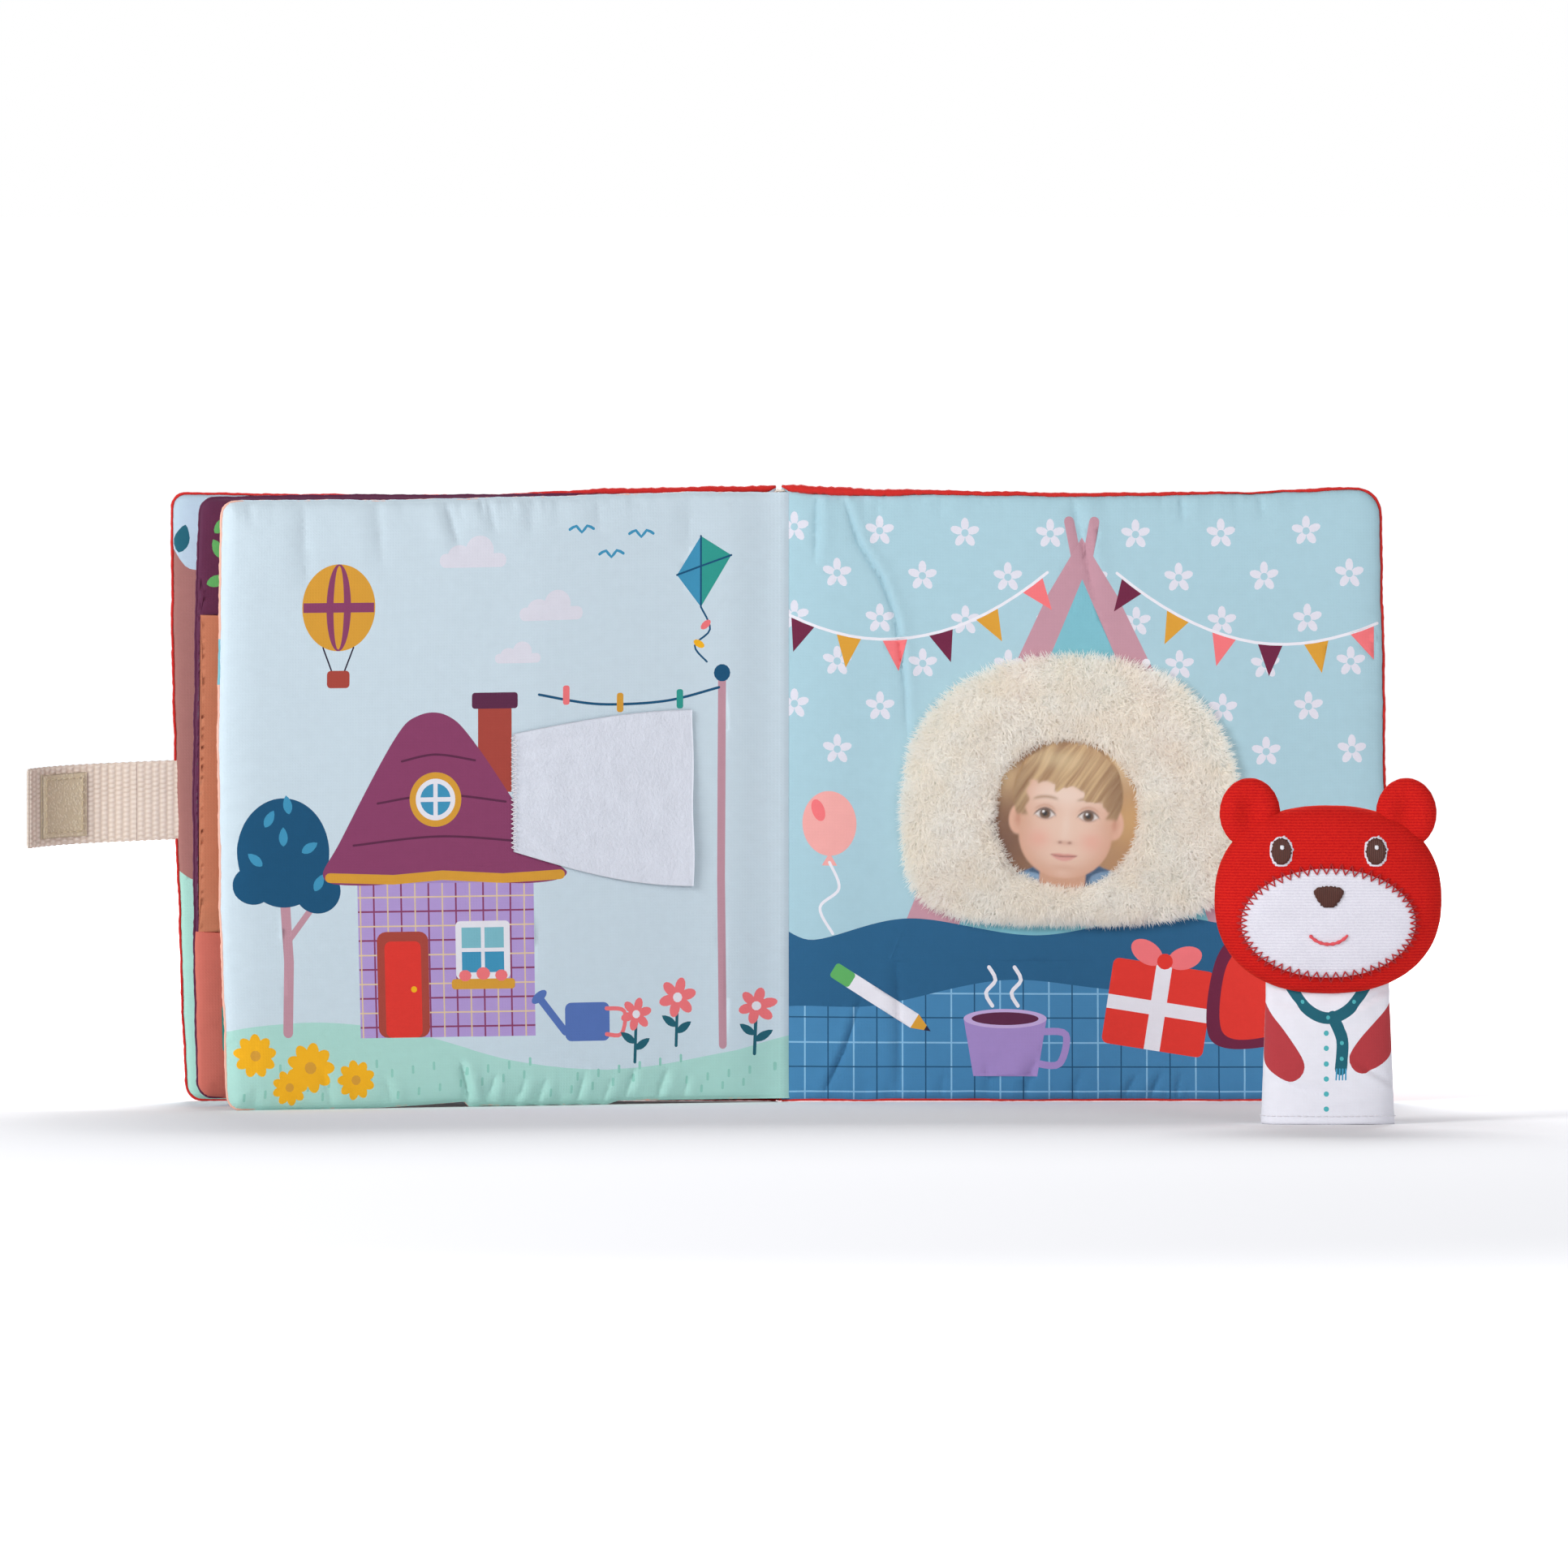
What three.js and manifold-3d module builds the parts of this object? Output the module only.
// A soft cloth activity book for babies, stood open at its last spread, with a finger puppet beside it.
// Millimetres: +X is the reader's right, +Y points away from the reader and +Z is up.
// Two padded covers and two padded leaves are sewn together along the spine, and each opens on its
// neighbour. A webbing strap closes the book, a cloth tissue lifts off leaf 2, and a fur surround on the
// back cover holds a clear window with a photo card that slides out at the top.

import * as THREE from "three";
import { mergeVertices } from "three/addons/utils/BufferGeometryUtils.js";
import Module from "manifold-3d";

const wasm = await Module();
wasm.setup();

// Clearances
const GAP = 0.3;
const OVERRUN = 6;
const WELD_SHARE = 0.001;

// Cloth, seams and padding of every panel
const CLOTH = 0.8;
const SEAM_HALF = CLOTH + GAP / 2;
const CORNER_RADIUS = 10;
const EDGE_ROLL = 12;
const ROOT_RAMP = 80;
const ROOT_CLEAR = 0.3;
const DRAW_IN = 1.2;
const WADDING_MARGIN = 4;
const WADDING_ROOT = 20;
const WADDING_EDGE = 0.5;
const WADDING_SLACK = 0.7;

// Covers, with how far the sewing draws the ends of each in from the full width
const COVER_WIDTH = 190.5;
const COVER_HEIGHT = 190;
const FRONT_COVER_TOP_DRAW = 0.5;
const FRONT_COVER_FOOT_DRAW = 4;
const BACK_COVER_TOP_DRAW = 3;
const COVER_OUTER_PUFF = 3.6;
const COVER_INNER_PUFF = 2.4;
const RED_EDGE = 1.2;

// Leaves, which are smaller than the covers, and how far each is turned from the front cover
const LEAF_1_LIFT = 2.5;
const LEAF_1_TOP_DRAW = 5.5;
const LEAF_1_FOOT_DRAW = 5;
const LEAF_1_DEGREES = 11.3;
const LEAF_2_BELOW_TOP = 0.5;
const LEAF_2_TOP_DRAW = 4.5;
const LEAF_2_FOOT_DRAW = 6.5;
const LEAF_2_DEGREES = 20.3;
const LEAF_PUFF = 2.9;

// Strap
const STRAP_WIDTH = 25;
const STRAP_THICKNESS = 1.6;
const STRAP_FOOT = 82;
const STRAP_STRAIGHT = 18;
const STRAP_BEND_RADIUS = 30;
const STRAP_BASE_LENGTH = 24;
const STRAP_LENGTH = 52.5;
const STRAP_DROOP_SLOPE = 0.044;
const STRAP_NOSE_SHARE = 0.1;
const HOOK_LENGTH = 18;
const HOOK_MARGIN = 2.5;
const HOOK_INSET = 6.5;
const HOOK_THICKNESS = 1;
const LOOP_LENGTH = 28;
const LOOP_MARGIN = 0.5;
const LOOP_THICKNESS = 0.9;
const LOOP_FROM_EDGE = 18;

// Fur surround, window and photo card
const FUR_X = 91.5;
const FUR_Z = 93;
const FUR_HALF_WIDTH = 51;
const FUR_ABOVE = 45;
const FUR_BELOW = 37;
const FUR_UPPER_POWER = 2.2;
const FUR_LOWER_POWER = 3.6;
const FUR_EDGE = 2.4;
const FUR_CROWN = 2.4;
const HOLE_X = 89.5;
const HOLE_Z = 90.2;
const HOLE_HALF_WIDTH = 22;
const HOLE_HALF_HEIGHT = 23.5;
const HOLE_POWER = 2;
const FILM_MARGIN = 4;
const FILM_THICKNESS = 0.4;
const FILM_CORNER = 5;
const CARD_SLACK = 1.5;
const CARD_GRIP = 5;
const CARD_THICKNESS = 0.6;
const CARD_CORNER = 3;

// Tissue
const TISSUE_SEWN_X = 90;
const TISSUE_LENGTH = 60;
const TISSUE_SEWN_FOOT = 79.5;
const TISSUE_SEWN_TOP = 116.3;
const TISSUE_FLARE_UP = 6.9;
const TISSUE_FLARE_DOWN = 11.4;
const TISSUE_THICKNESS = 0.6;
const TISSUE_WAVE = 0.9;
const TISSUE_EDGE_LIFT = 0.5;

// Finger puppet
const PUPPET_X = 168;
const PUPPET_Y = -153;
const SLEEVE_WIDTH = 41;
const SLEEVE_DEPTH = 18;
const SLEEVE_NECK_WIDTH = 37.5;
const SLEEVE_NECK_DEPTH = 8;
const SLEEVE_HEIGHT = 46;
const SLEEVE_WALL = 1;
const SLEEVE_POWER = 2.6;
const HEAD_WIDTH = 70;
const HEAD_HEIGHT = 58;
const HEAD_DEPTH = 20;
const NECK_SEAT = 6;
const HEAD_FORWARD = 3;
const HEAD_POWER = 2.3;
const EAR_WIDTH = 19;
const EAR_HEIGHT = 22;
const EAR_DEPTH = 9;
const EAR_OUT = 24;
const EAR_RISE = 8.5;
const EAR_POWER = 2;
const MUZZLE_WIDTH = 54;
const MUZZLE_HEIGHT = 34;
const VELOUR = 0.8;
const THREAD = 0.6;
const EYE_WIDTH = 6.4;
const EYE_HEIGHT = 8.4;
const EYE_OUT = 14.5;
const NOSE_WIDTH = 10;
const NOSE_HEIGHT = 7;
const MOUTH_RADIUS = 8;
const MOUTH_STROKE = 1.3;
const MOUTH_HALF_DEGREES = 52;

// How high the middle of each feature lies on the head, as a share of the head's height
const EYE_RISE_SHARE = 0.76;
const NOSE_RISE_SHARE = 0.52;
const MOUTH_RISE_SHARE = 0.4;
const MUZZLE_RISE_SHARE = 0.38;

// Where the facets lie, as shares of the length that each list follows
const CORNER_SHARES = [0, 0.09, 0.28, 0.56, 1, 1.5];
const ROOT_SHARES = [0, 0.5, 1];
const MIDDLE_SHARES = [0.25, 0.5, 0.75];
const FUR_BACK_SHARES = [0, 0.34, 0.67, 1];
const FUR_FRONT_SHARES = [1, 0.9, 0.7, 0.45, 0.2, 0];
const PILLOW_SHARES = [0.42, 0.68, 0.85, 0.94, 0.985];
const SLEEVE_SHARES = [0, 0.25, 0.5, 0.75, 1];

// How finely the curved pieces are faceted
const FUR_STEPS = 44;
const PILLOW_STEPS = 36;
const PILLOW_POWER = 2.6;
const TISSUE_STEPS = 10;
const TISSUE_ROWS = 8;
const BAND_STEPS = 10;
const NOSE_STEPS = 4;
const CURVE_STEPS = 24;

const RED_CLOTH = 0xc41e22;
const CREAM_WEBBING = 0xe3d5c4;
const HOOK_BEIGE = 0xc8b896;
const WADDING_WHITE = 0xf0eeea;
const SKY_PRINT = 0xc9dae6;
const BED_PRINT = 0xa9d0dd;
const CLAY_PRINT = 0xbe7355;
const PEACH_PRINT = 0xf2b9a6;
const PLUM_PRINT = 0x8b6a8e;
const BARK_PRINT = 0x9c6c62;
const FUR_CREAM = 0xede3d6;
const FILM_CLEAR = 0xe8eef0;
const CARD_TAN = 0xcda983;
const TISSUE_WHITE = 0xdfe3ee;
const VELOUR_RED = 0xc8322d;
const VELOUR_WHITE = 0xe6e4ec;
const COTTON_WHITE = 0xe8e8ef;
const THREAD_BROWN = 0x4a241c;
const THREAD_CORAL = 0xdc4850;

const book = new THREE.Group();

// Adds one named piece to the group that carries it.
function addPiece(parent, name, geometry, colour, roughness = 0.9) {
  const finish = new THREE.MeshStandardMaterial({ color: colour, roughness, metalness: 0 });
  const piece = new THREE.Mesh(geometry, finish);
  piece.name = name;
  parent.add(piece);
  return piece;
}

// Closes a list of corners and triangles into a geometry whose faces point out.
function closedGeometry(corners, triangles) {
  const positions = new Float32Array(corners.flatMap((corner) => [corner.x, corner.y, corner.z]));
  let volume = 0;
  for (const [a, b, c] of triangles) {
    volume += corners[a].dot(new THREE.Vector3().crossVectors(corners[b], corners[c]));
  }
  const facing = volume > 0 ? triangles : triangles.map(([a, b, c]) => [a, c, b]);
  const geometry = new THREE.BufferGeometry();
  geometry.setAttribute("position", new THREE.BufferAttribute(positions, 3));
  geometry.setIndex(facing.flat());
  geometry.computeVertexNormals();
  return geometry;
}

// A sheet with thickness: two grids of points with the same rows and columns, joined round their edges.
function slab(near, far) {
  const rows = near.length;
  const columns = near[0].length;
  const lastRow = rows - 1;
  const lastColumn = columns - 1;
  const corners = [...near.flat(), ...far.flat()];
  const at = (side, i, j) => side * rows * columns + i * columns + j;
  const triangles = [];
  const quad = (a, b, c, d) => triangles.push([a, b, c], [a, c, d]);
  for (let i = 0; i < lastRow; i++) {
    for (let j = 0; j < lastColumn; j++) {
      quad(at(0, i, j), at(0, i + 1, j), at(0, i + 1, j + 1), at(0, i, j + 1));
      quad(at(1, i, j), at(1, i, j + 1), at(1, i + 1, j + 1), at(1, i + 1, j));
    }
    quad(at(0, i, 0), at(1, i, 0), at(1, i + 1, 0), at(0, i + 1, 0));
    quad(at(0, i, lastColumn), at(0, i + 1, lastColumn), at(1, i + 1, lastColumn), at(1, i, lastColumn));
  }
  for (let j = 0; j < lastColumn; j++) {
    quad(at(0, 0, j), at(0, 0, j + 1), at(1, 0, j + 1), at(1, 0, j));
    quad(at(0, lastRow, j), at(1, lastRow, j), at(1, lastRow, j + 1), at(0, lastRow, j + 1));
  }
  return closedGeometry(corners, triangles);
}

// Rings of points joined one to the next, and closed at both ends on a point.
function stack(rings, start, end) {
  const count = rings[0].length;
  const corners = [...rings.flat(), start, end];
  const startIndex = rings.length * count;
  const lastRing = startIndex - count;
  const triangles = [];
  for (let j = 0; j < count; j++) {
    const next = (j + 1) % count;
    for (let low = 0; low < lastRing; low += count) {
      triangles.push([low + j, low + next, low + count + next]);
      triangles.push([low + j, low + count + next, low + count + j]);
    }
    triangles.push([startIndex, next, j]);
    triangles.push([startIndex + 1, lastRing + j, lastRing + next]);
  }
  return closedGeometry(corners, triangles);
}

// Sections of points joined one to the next round a closed loop.
function loop(sections) {
  const count = sections[0].length;
  const triangles = [];
  sections.forEach((section, i) => {
    const after = (i + 1) % sections.length;
    for (let j = 0; j < count; j++) {
      const next = (j + 1) % count;
      triangles.push([i * count + j, i * count + next, after * count + next]);
      triangles.push([i * count + j, after * count + next, after * count + j]);
    }
  });
  return closedGeometry(sections.flat(), triangles);
}

// A geometry as a solid for cutting.
function toSolid(geometry) {
  const bare = geometry.clone();
  bare.deleteAttribute("normal");
  bare.deleteAttribute("uv");
  const merged = mergeVertices(bare, GAP * WELD_SHARE);
  const numProp = 3;
  const vertProperties = merged.attributes.position.array;
  const triVerts = new Uint32Array(merged.index.array);
  return new wasm.Manifold(new wasm.Mesh({ numProp, vertProperties, triVerts }));
}

// A cut solid as a geometry again.
function toGeometry(solid) {
  const made = solid.getMesh();
  const geometry = new THREE.BufferGeometry();
  geometry.setAttribute("position", new THREE.BufferAttribute(made.vertProperties, 3));
  geometry.setIndex(new THREE.BufferAttribute(made.triVerts, 1));
  geometry.computeVertexNormals();
  return geometry;
}

// A box between two corners.
function boxBetween(low, high) {
  const size = new THREE.Vector3().subVectors(high, low);
  const middle = new THREE.Vector3().addVectors(low, high).divideScalar(2);
  return new THREE.BoxGeometry(size.x, size.y, size.z).translate(middle.x, middle.y, middle.z);
}

// A point on a superellipse of radius 1, which rounds a square off more as the power falls.
function superellipse(angle, power) {
  const rounded = (value) => Math.sign(value) * Math.abs(value) ** (2 / power);
  return [rounded(Math.cos(angle)), rounded(Math.sin(angle))];
}

// Padded panels
// A panel lies in its own frame: +X runs out from the spine, +Z is up, and its seam lies on y = 0.
function makePanel(topDraw, footDraw, height, lift) {
  const top = COVER_WIDTH - topDraw;
  const foot = COVER_WIDTH - footDraw;
  const width = Math.max(top, foot);
  const drawIn = (along) => DRAW_IN * Math.sin(Math.PI * along);
  const reachAt = (q) => THREE.MathUtils.lerp(foot, top, q / height) - drawIn(q / height);
  const riseAt = (p) => height - drawIn(p / width);
  return { width, height, lift, reachAt, riseAt };
}

// Grid lines across a panel and up it, crowded towards the edges that are sewn and rolled.
function panelLines(panel, inset, from) {
  const radius = CORNER_RADIUS - inset;
  const outer = panel.width - inset;
  const low = inset;
  const high = panel.height - inset;
  const rolled = CORNER_SHARES.map((share) => radius * share);
  const inmost = rolled.at(-1);
  const across = ROOT_SHARES.map((share) => THREE.MathUtils.lerp(from, ROOT_RAMP, share));
  across.push((ROOT_RAMP + outer - inmost) / 2, ...rolled.map((roll) => outer - roll).reverse());
  const up = rolled.map((roll) => low + roll);
  up.push(...MIDDLE_SHARES.map((share) => THREE.MathUtils.lerp(low + inmost, high - inmost, share)));
  up.push(...rolled.map((roll) => high - roll).reverse());
  return { across, up, radius, outer, low, high };
}

// The points of one face. Its two corners at the fore-edge are rounded and its sides drawn in, and
// depthAt turns two shares, of the edge's roll and of the rise from the spine, into a depth.
function faceGrid(panel, inset, from, depthAt) {
  const { across, up, radius, outer, low, high } = panelLines(panel, inset, from);
  const pointAt = (line, rise) => {
    const centre = rise > panel.height / 2 ? high - radius : low + radius;
    const a = line - (outer - radius);
    const b = rise - centre;
    const reach = Math.max(a, Math.abs(b));
    const inCorner = a > 0 && (rise > high - radius || rise < low + radius);
    const shrink = inCorner ? reach / Math.hypot(a, b) : 1;
    const p = inCorner ? outer - radius + a * shrink : line;
    const q = inCorner ? centre + b * shrink : rise;
    const inward = inCorner ? radius - reach : Math.min(outer - line, rise - low, high - rise);
    const flat = 1 - THREE.MathUtils.clamp(inward / EDGE_ROLL, 0, 1);
    const rolled = Math.sqrt(1 - flat * flat);
    const ramp = Math.min(1, p / ROOT_RAMP);
    const x = ROOT_CLEAR + (p * panel.reachAt(q)) / panel.width;
    const z = panel.lift + (q * panel.riseAt(p)) / panel.height;
    return new THREE.Vector3(x, depthAt(rolled, ramp), z);
  };
  return across.map((line) => up.map((rise) => pointAt(line, rise)));
}

// The cloth of one face. side is 1 for the face on +Y and -1 for the face on -Y.
function clothFace(panel, side, puff, inset) {
  const outside = (rolled, ramp) => side * (SEAM_HALF + puff * rolled * ramp);
  const inside = (rolled, ramp) => side * (SEAM_HALF + puff * rolled * ramp - CLOTH);
  return slab(faceGrid(panel, inset, 0, outside), faceGrid(panel, inset, 0, inside));
}

// The wadding between the two cloths of a panel, given the puff of its +Y face and of its -Y face.
function wadding(panel, frontPuff, rearPuff) {
  const depth = (puff) => (rolled, ramp) => {
    return ramp * THREE.MathUtils.lerp(WADDING_EDGE, puff - WADDING_SLACK, rolled);
  };
  const behind = (puff) => (rolled, ramp) => -depth(puff)(rolled, ramp);
  const front = faceGrid(panel, WADDING_MARGIN, WADDING_ROOT, depth(frontPuff));
  const rear = faceGrid(panel, WADDING_MARGIN, WADDING_ROOT, behind(rearPuff));
  return slab(front, rear);
}

// How far a panel's face lies from its seam, well inside its edges.
function faceDepth(puff, x) {
  return SEAM_HALF + puff * Math.min(1, (x - ROOT_CLEAR) / ROOT_RAMP);
}

// Spine
// Neighbouring panels turn about a line on the faces that meet when the book is shut. The back cover
// lies along +X, and the others follow from it, each turned the given degrees from the front cover.
const HINGE_OFFSET = SEAM_HALF + GAP / 2;

function addPanelGroup(direction, hinge) {
  const group = new THREE.Group();
  group.rotation.z = direction;
  const offset = new THREE.Vector3(0, HINGE_OFFSET, 0).applyEuler(group.rotation);
  group.position.copy(hinge).sub(offset);
  const rearHinge = group.position.clone().sub(offset);
  book.add(group);
  return { group, rearHinge };
}

const backCover = new THREE.Group();
book.add(backCover);
const spineHinge = new THREE.Vector3(0, -HINGE_OFFSET, 0);
const directionOf = (degrees) => Math.PI + THREE.MathUtils.degToRad(degrees);
const leaf2 = addPanelGroup(directionOf(LEAF_2_DEGREES), spineHinge);
const leaf1 = addPanelGroup(directionOf(LEAF_1_DEGREES), leaf2.rearHinge);
const frontCover = addPanelGroup(directionOf(0), leaf1.rearHinge);

const leaf1Height = COVER_HEIGHT - LEAF_1_LIFT;
const leaf2Height = COVER_HEIGHT - LEAF_2_BELOW_TOP;
const frontCoverPanel = makePanel(FRONT_COVER_TOP_DRAW, FRONT_COVER_FOOT_DRAW, COVER_HEIGHT, 0);
const backCoverPanel = makePanel(BACK_COVER_TOP_DRAW, 0, COVER_HEIGHT, 0);
const leaf1Panel = makePanel(LEAF_1_TOP_DRAW, LEAF_1_FOOT_DRAW, leaf1Height, LEAF_1_LIFT);
const leaf2Panel = makePanel(LEAF_2_TOP_DRAW, LEAF_2_FOOT_DRAW, leaf2Height, 0);

// Front cover: red outside, printed inside, the print set in from the red edge
const frontOuter = clothFace(frontCoverPanel, -1, COVER_OUTER_PUFF, 0);
const frontInner = clothFace(frontCoverPanel, 1, COVER_INNER_PUFF, RED_EDGE);
addPiece(frontCover.group, "front_cover_outer", frontOuter, RED_CLOTH);
addPiece(frontCover.group, "front_cover_inner", frontInner, BARK_PRINT);
const frontWadding = wadding(frontCoverPanel, COVER_INNER_PUFF, COVER_OUTER_PUFF);
addPiece(frontCover.group, "front_cover_wadding", frontWadding, WADDING_WHITE, 1);

// Back cover
const backOuter = clothFace(backCoverPanel, 1, COVER_OUTER_PUFF, 0);
const backInner = clothFace(backCoverPanel, -1, COVER_INNER_PUFF, RED_EDGE);
addPiece(backCover, "back_cover_outer", backOuter, RED_CLOTH);
addPiece(backCover, "back_cover_inner", backInner, BED_PRINT);
const backWadding = wadding(backCoverPanel, COVER_OUTER_PUFF, COVER_INNER_PUFF);
addPiece(backCover, "back_cover_wadding", backWadding, WADDING_WHITE, 1);

// Leaves
function addLeaf(group, panel, name, frontColour, rearColour) {
  addPiece(group, `${name}_front`, clothFace(panel, 1, LEAF_PUFF, 0), frontColour);
  addPiece(group, `${name}_rear`, clothFace(panel, -1, LEAF_PUFF, 0), rearColour);
  addPiece(group, `${name}_wadding`, wadding(panel, LEAF_PUFF, LEAF_PUFF), WADDING_WHITE, 1);
}

addLeaf(leaf1.group, leaf1Panel, "leaf_1", CLAY_PRINT, PLUM_PRINT);
addLeaf(leaf2.group, leaf2Panel, "leaf_2", SKY_PRINT, PEACH_PRINT);

// Closing strap
// It leaves the front cover's fore-edge straight and then bends towards the reader. Each of its two
// halves turns about a half-round nose on the piece before it.
const STRAP_HALF = STRAP_THICKNESS / 2;
const STRAP_TOP = STRAP_FOOT + STRAP_WIDTH;
const foreEdge = Math.max(frontCoverPanel.reachAt(STRAP_FOOT), frontCoverPanel.reachAt(STRAP_TOP));
const STRAP_START = ROOT_CLEAR + foreEdge + GAP + STRAP_HALF;

// Position and heading on the strap's middle line, a given length out from its first hinge.
function strapAt(length) {
  const turn = Math.max(0, length - STRAP_STRAIGHT) / STRAP_BEND_RADIUS;
  const x = STRAP_START + Math.min(length, STRAP_STRAIGHT) + STRAP_BEND_RADIUS * Math.sin(turn);
  const y = STRAP_BEND_RADIUS * (1 - Math.cos(turn));
  return { x, y, turn, drop: STRAP_DROOP_SLOPE * length };
}

// A band that follows the strap between two lengths, between two heights and two depths.
function band(lengths, foot, top, depthsAt) {
  const side = (which) =>
    lengths.map((length) => {
      const { x, y, turn, drop } = strapAt(length);
      const depth = depthsAt(length)[which];
      const across = [x - depth * Math.sin(turn), y + depth * Math.cos(turn)];
      return [foot, top].map((height) => new THREE.Vector3(...across, height - drop));
    });
  return slab(side(0), side(1));
}

// Lengths from a half-round nose at one end to a plain end at the other.
function nosedLengths(nose, end) {
  const lengths = [];
  for (let i = 0; i <= NOSE_STEPS; i++) {
    lengths.push(nose - STRAP_HALF * Math.cos((i / NOSE_STEPS) * (Math.PI / 2)));
  }
  for (let i = 1; i <= BAND_STEPS; i++) {
    lengths.push(THREE.MathUtils.lerp(nose, end, i / BAND_STEPS));
  }
  return lengths;
}

function nosedDepths(nose) {
  const half = (length) => {
    const back = Math.max(0, nose - length);
    const round = Math.sqrt(Math.max(0, STRAP_HALF * STRAP_HALF - back * back));
    return Math.max(STRAP_HALF * STRAP_NOSE_SHARE, round);
  };
  return (length) => [half(length), -half(length)];
}

const tipNose = STRAP_BASE_LENGTH + STRAP_HALF + GAP;
const baseStrap = band(nosedLengths(0, STRAP_BASE_LENGTH), STRAP_FOOT, STRAP_TOP, nosedDepths(0));
const tipStrap = band(nosedLengths(tipNose, STRAP_LENGTH), STRAP_FOOT, STRAP_TOP, nosedDepths(tipNose));
addPiece(frontCover.group, "strap_base", baseStrap, CREAM_WEBBING);
addPiece(frontCover.group, "strap_tip", tipStrap, CREAM_WEBBING);

// Hook patch on the strap's inner side
const hookEnd = STRAP_LENGTH - HOOK_INSET;
const hookLengths = [];
for (let i = 0; i <= BAND_STEPS; i++) {
  hookLengths.push(THREE.MathUtils.lerp(hookEnd - HOOK_LENGTH, hookEnd, i / BAND_STEPS));
}
const hookDepths = () => [STRAP_HALF + GAP + HOOK_THICKNESS, STRAP_HALF + GAP];
const hookPatch = band(hookLengths, STRAP_FOOT + HOOK_MARGIN, STRAP_TOP - HOOK_MARGIN, hookDepths);
addPiece(frontCover.group, "hook_patch", hookPatch, HOOK_BEIGE, 1);

// Loop patch on the back cover's outer face, level with the strap
const loopFar = ROOT_CLEAR + COVER_WIDTH - BACK_COVER_TOP_DRAW - LOOP_FROM_EDGE;
const loopSeat = faceDepth(COVER_OUTER_PUFF, loopFar) + GAP;
const loopLow = new THREE.Vector3(loopFar - LOOP_LENGTH, loopSeat, STRAP_FOOT + LOOP_MARGIN);
const loopHigh = new THREE.Vector3(loopFar, loopSeat + LOOP_THICKNESS, STRAP_TOP - LOOP_MARGIN);
addPiece(backCover, "loop_patch", boxBetween(loopLow, loopHigh), CREAM_WEBBING, 1);

// A flat sheet with rounded corners, standing in the XZ plane with its front on the given depth.
function roundedSheet(centreX, foot, width, height, corner, thickness, front) {
  const shape = new THREE.Shape();
  const half = width / 2;
  const top = height - corner;
  const side = half - corner;
  shape.moveTo(-side, 0);
  shape.absarc(side, corner, corner, -Math.PI / 2, 0, false);
  shape.absarc(side, top, corner, 0, Math.PI / 2, false);
  shape.absarc(-side, top, corner, Math.PI / 2, Math.PI, false);
  shape.absarc(-side, corner, corner, Math.PI, (3 * Math.PI) / 2, false);
  const settings = { depth: thickness, bevelEnabled: false, curveSegments: CURVE_STEPS / 4 };
  const sheet = new THREE.ExtrudeGeometry(shape, settings);
  return sheet.rotateX(Math.PI / 2).translate(centreX, front + thickness, foot);
}

// Photo card and the clear film in front of it, in a pocket behind the fur
const pageFront = -faceDepth(COVER_INNER_PUFF, HOLE_X);
const cardFront = pageFront - GAP - CARD_THICKNESS;
const filmFront = cardFront - GAP - FILM_THICKNESS;
const filmWidth = 2 * (HOLE_HALF_WIDTH + FILM_MARGIN);
const filmHeight = 2 * (HOLE_HALF_HEIGHT + FILM_MARGIN);
const cardWidth = filmWidth - 2 * CARD_SLACK;
const cardHeight = filmHeight + CARD_GRIP;
const filmFoot = HOLE_Z - filmHeight / 2;
const cardFoot = filmFoot + GAP;
const film = roundedSheet(HOLE_X, filmFoot, filmWidth, filmHeight, FILM_CORNER, FILM_THICKNESS, filmFront);
const card = roundedSheet(HOLE_X, cardFoot, cardWidth, cardHeight, CARD_CORNER, CARD_THICKNESS, cardFront);
addPiece(backCover, "window_film", film, FILM_CLEAR, 0.2);
addPiece(backCover, "photo_card", card, CARD_TAN, 0.6);

// Fur surround: a padded ring that lies on the page, crowned in front, with a pocket cut in its back
function furSection(angle) {
  const [holeX, holeZ] = superellipse(angle, HOLE_POWER);
  const inner = [HOLE_X + HOLE_HALF_WIDTH * holeX, HOLE_Z + HOLE_HALF_HEIGHT * holeZ];
  const power = Math.sin(angle) > 0 ? FUR_UPPER_POWER : FUR_LOWER_POWER;
  const furRise = Math.sin(angle) > 0 ? FUR_ABOVE : FUR_BELOW;
  const [furX, furZ] = superellipse(angle, power);
  const outer = [FUR_X + FUR_HALF_WIDTH * furX, FUR_Z + furRise * furZ];
  const point = (share, thickness) => {
    const x = THREE.MathUtils.lerp(inner[0], outer[0], share);
    const z = THREE.MathUtils.lerp(inner[1], outer[1], share);
    return new THREE.Vector3(x, -faceDepth(COVER_INNER_PUFF, x) - GAP - thickness, z);
  };
  const back = FUR_BACK_SHARES.map((share) => point(share, 0));
  const crowned = (share) => FUR_EDGE + FUR_CROWN * Math.sin(Math.PI * share);
  const front = FUR_FRONT_SHARES.map((share) => point(share, crowned(share)));
  return [...back, ...front];
}

const furSections = [];
for (let i = 0; i < FUR_STEPS; i++) {
  furSections.push(furSection((i / FUR_STEPS) * 2 * Math.PI));
}
const pocketHalf = filmWidth / 2 + GAP;
const pocketLow = new THREE.Vector3(HOLE_X - pocketHalf, filmFront - GAP, filmFoot - GAP);
const pocketHigh = new THREE.Vector3(HOLE_X + pocketHalf, 0, FUR_Z + FUR_ABOVE + OVERRUN);
const fur = toSolid(loop(furSections)).subtract(toSolid(boxBetween(pocketLow, pocketHigh)));
addPiece(backCover, "fur_surround", toGeometry(fur), FUR_CREAM, 1);

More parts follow.
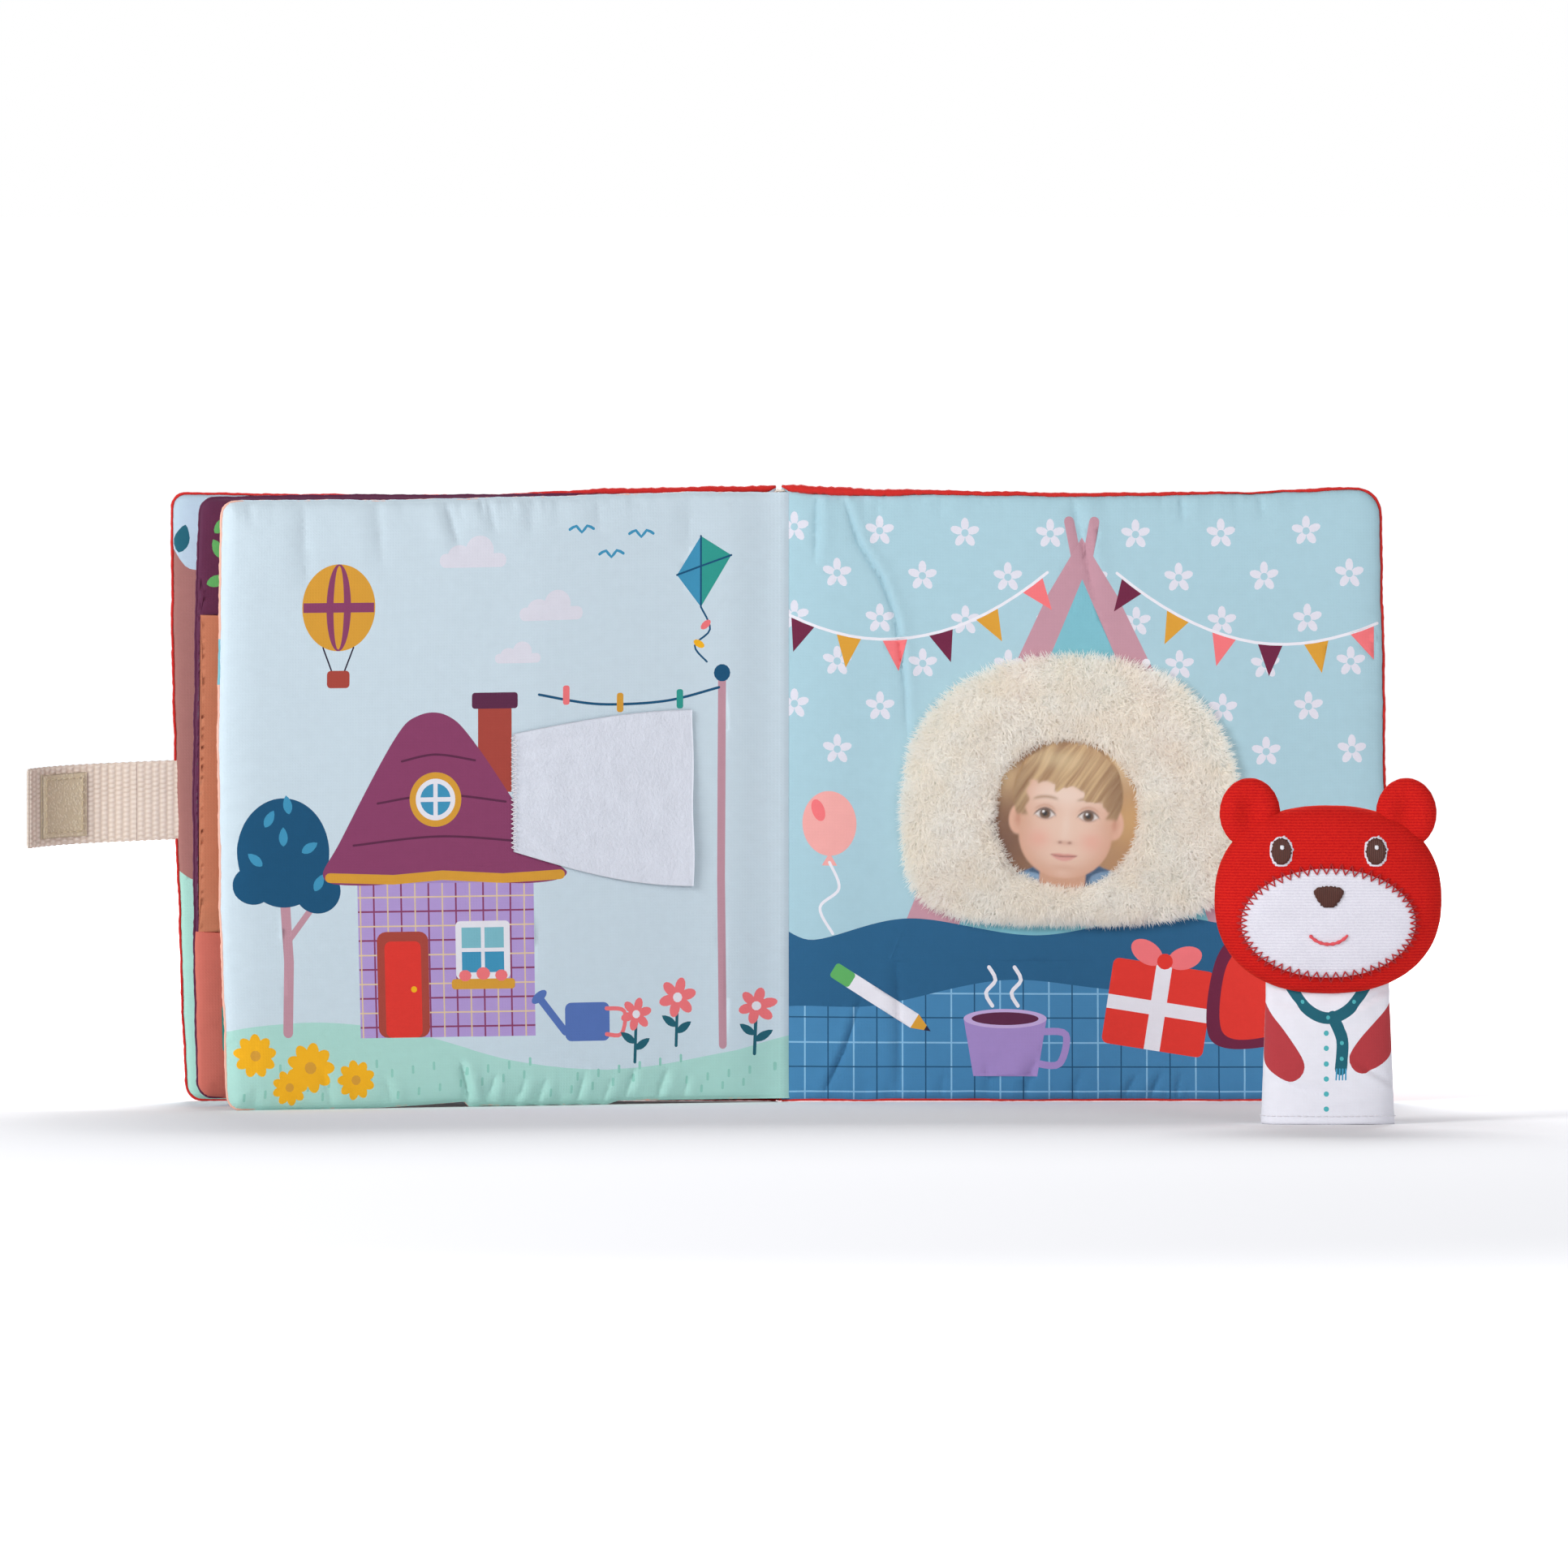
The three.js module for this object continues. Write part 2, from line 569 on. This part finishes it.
// Cloth tissue, sewn to leaf 2 along one edge, flaring and rippling towards its free edge
function tissuePoint(out, up, side) {
  const x = TISSUE_SEWN_X - TISSUE_LENGTH * out;
  const flare = Math.sin((Math.PI / 2) * out);
  const foot = TISSUE_SEWN_FOOT - TISSUE_FLARE_DOWN * flare;
  const top = TISSUE_SEWN_TOP + TISSUE_FLARE_UP * flare;
  const ripple = TISSUE_WAVE * flare * Math.sin(Math.PI * up) ** 2;
  const lift = TISSUE_EDGE_LIFT + ripple + side * TISSUE_THICKNESS;
  return new THREE.Vector3(x, faceDepth(LEAF_PUFF, x) + lift, THREE.MathUtils.lerp(foot, top, up));
}

function tissueGrid(side) {
  const grid = [];
  for (let i = 0; i <= TISSUE_STEPS; i++) {
    const line = [];
    for (let j = 0; j <= TISSUE_ROWS; j++) {
      line.push(tissuePoint(i / TISSUE_STEPS, j / TISSUE_ROWS, side));
    }
    grid.push(line);
  }
  return grid;
}

addPiece(leaf2.group, "tissue", slab(tissueGrid(1), tissueGrid(0)), TISSUE_WHITE);

// Finger puppet: a sleeve that is open at the foot, a stuffed head and what is sewn on it
const puppet = new THREE.Group();
puppet.position.set(PUPPET_X, PUPPET_Y, 0);
book.add(puppet);

// The sleeve's outside, or its hollow when it is drawn in by the wall and left open at the foot.
function sleeveSolid(drawnIn, foot, top) {
  const rings = SLEEVE_SHARES.map((share) => {
    const height = THREE.MathUtils.lerp(foot, top, share);
    const rise = height / SLEEVE_HEIGHT;
    const halfWidth = THREE.MathUtils.lerp(SLEEVE_WIDTH, SLEEVE_NECK_WIDTH, rise) / 2 - drawnIn;
    const halfDepth = THREE.MathUtils.lerp(SLEEVE_DEPTH, SLEEVE_NECK_DEPTH, rise) / 2 - drawnIn;
    const ring = [];
    for (let j = 0; j < PILLOW_STEPS; j++) {
      const [a, b] = superellipse((j / PILLOW_STEPS) * 2 * Math.PI, SLEEVE_POWER);
      ring.push(new THREE.Vector3(halfWidth * a, halfDepth * b, height));
    }
    return ring;
  });
  return toSolid(stack(rings, new THREE.Vector3(0, 0, foot), new THREE.Vector3(0, 0, top)));
}

const sleeveHollow = sleeveSolid(SLEEVE_WALL, -OVERRUN, SLEEVE_HEIGHT - SLEEVE_WALL);
const sleeve = sleeveSolid(0, 0, SLEEVE_HEIGHT).subtract(sleeveHollow);
addPiece(puppet, "puppet_sleeve", toGeometry(sleeve), COTTON_WHITE);

// A stuffed form, swelling from a sewn rim that is a superellipse seen from the front.
function pillow(width, height, depth, centre, power, grow) {
  const ring = (share, y) => {
    const points = [];
    for (let j = 0; j < PILLOW_STEPS; j++) {
      const [a, b] = superellipse((j / PILLOW_STEPS) * 2 * Math.PI, power);
      const x = centre.x + share * (width / 2 + grow) * a;
      const z = centre.z + share * (height / 2 + grow) * b;
      points.push(new THREE.Vector3(x, centre.y + y, z));
    }
    return points;
  };
  const half = depth / 2 + grow;
  const swell = (share) => half * (1 - share ** PILLOW_POWER) ** (1 / PILLOW_POWER);
  const front = PILLOW_SHARES.map((share) => ring(share, -swell(share)));
  const back = PILLOW_SHARES.map((share) => ring(share, swell(share))).reverse();
  const start = new THREE.Vector3(centre.x, centre.y - half, centre.z);
  const end = new THREE.Vector3(centre.x, centre.y + half, centre.z);
  return toSolid(stack([...front, ring(1, 0), ...back], start, end));
}

const headFoot = SLEEVE_HEIGHT - NECK_SEAT;
const headCentre = new THREE.Vector3(0, -HEAD_FORWARD, headFoot + HEAD_HEIGHT / 2);

function headSolid(grow) {
  return pillow(HEAD_WIDTH, HEAD_HEIGHT, HEAD_DEPTH, headCentre, HEAD_POWER, grow);
}

const headSeat = sleeveSolid(-GAP, 0, SLEEVE_HEIGHT + GAP);
addPiece(puppet, "puppet_head", toGeometry(headSolid(0).subtract(headSeat)), VELOUR_RED);

const earTop = headFoot + HEAD_HEIGHT + EAR_RISE;
for (const [name, side] of [["left", -1], ["right", 1]]) {
  const centre = new THREE.Vector3(side * EAR_OUT, -HEAD_FORWARD, earTop - EAR_HEIGHT / 2);
  const whole = pillow(EAR_WIDTH, EAR_HEIGHT, EAR_DEPTH, centre, EAR_POWER, 0);
  const ear = whole.subtract(headSolid(GAP));
  addPiece(puppet, `puppet_${name}_ear`, toGeometry(ear), VELOUR_RED);
}

// A patch sewn on the front of the head, a given depth off it and as thick as its cloth.
function patch(shape, x, riseShare, offset, thickness) {
  const settings = { depth: HEAD_DEPTH, bevelEnabled: false, curveSegments: CURVE_STEPS };
  const prism = new THREE.ExtrudeGeometry(shape, settings);
  prism.rotateX(Math.PI / 2).translate(x, headCentre.y, headFoot + HEAD_HEIGHT * riseShare);
  const skin = headSolid(offset + thickness).subtract(headSolid(offset));
  return toGeometry(skin.intersect(toSolid(prism)).subtract(headSeat));
}

function oval(width, height) {
  return new THREE.Shape().absellipse(0, 0, width / 2, height / 2, 0, 2 * Math.PI, false, 0);
}

const muzzle = patch(oval(MUZZLE_WIDTH, MUZZLE_HEIGHT), 0, MUZZLE_RISE_SHARE, GAP, VELOUR);
addPiece(puppet, "puppet_muzzle", muzzle, VELOUR_WHITE);
for (const [name, side] of [["left", -1], ["right", 1]]) {
  const eye = patch(oval(EYE_WIDTH, EYE_HEIGHT), side * EYE_OUT, EYE_RISE_SHARE, GAP, THREAD);
  addPiece(puppet, `puppet_${name}_eye`, eye, THREAD_BROWN);
}
const onMuzzle = GAP + VELOUR + GAP;
const nose = patch(oval(NOSE_WIDTH, NOSE_HEIGHT), 0, NOSE_RISE_SHARE, onMuzzle, THREAD);
addPiece(puppet, "puppet_nose", nose, THREAD_BROWN);
const smileHalf = THREE.MathUtils.degToRad(MOUTH_HALF_DEGREES);
const smileStart = -Math.PI / 2 - smileHalf;
const smileEnd = -Math.PI / 2 + smileHalf;
const smile = new THREE.Shape();
smile.absarc(0, 0, MOUTH_RADIUS, smileStart, smileEnd, false);
smile.absarc(0, 0, MOUTH_RADIUS - MOUTH_STROKE, smileEnd, smileStart, true);
const mouth = patch(smile, 0, MOUTH_RISE_SHARE, onMuzzle, THREAD);
addPiece(puppet, "puppet_mouth", mouth, THREAD_CORAL);

// The origin is the middle of the whole on the surface that it stands on.
book.updateMatrixWorld(true);
const bounds = new THREE.Box3().setFromObject(book, true);
const middle = bounds.getCenter(new THREE.Vector3());
book.position.set(-middle.x, -middle.y, -bounds.min.z);

export default book;
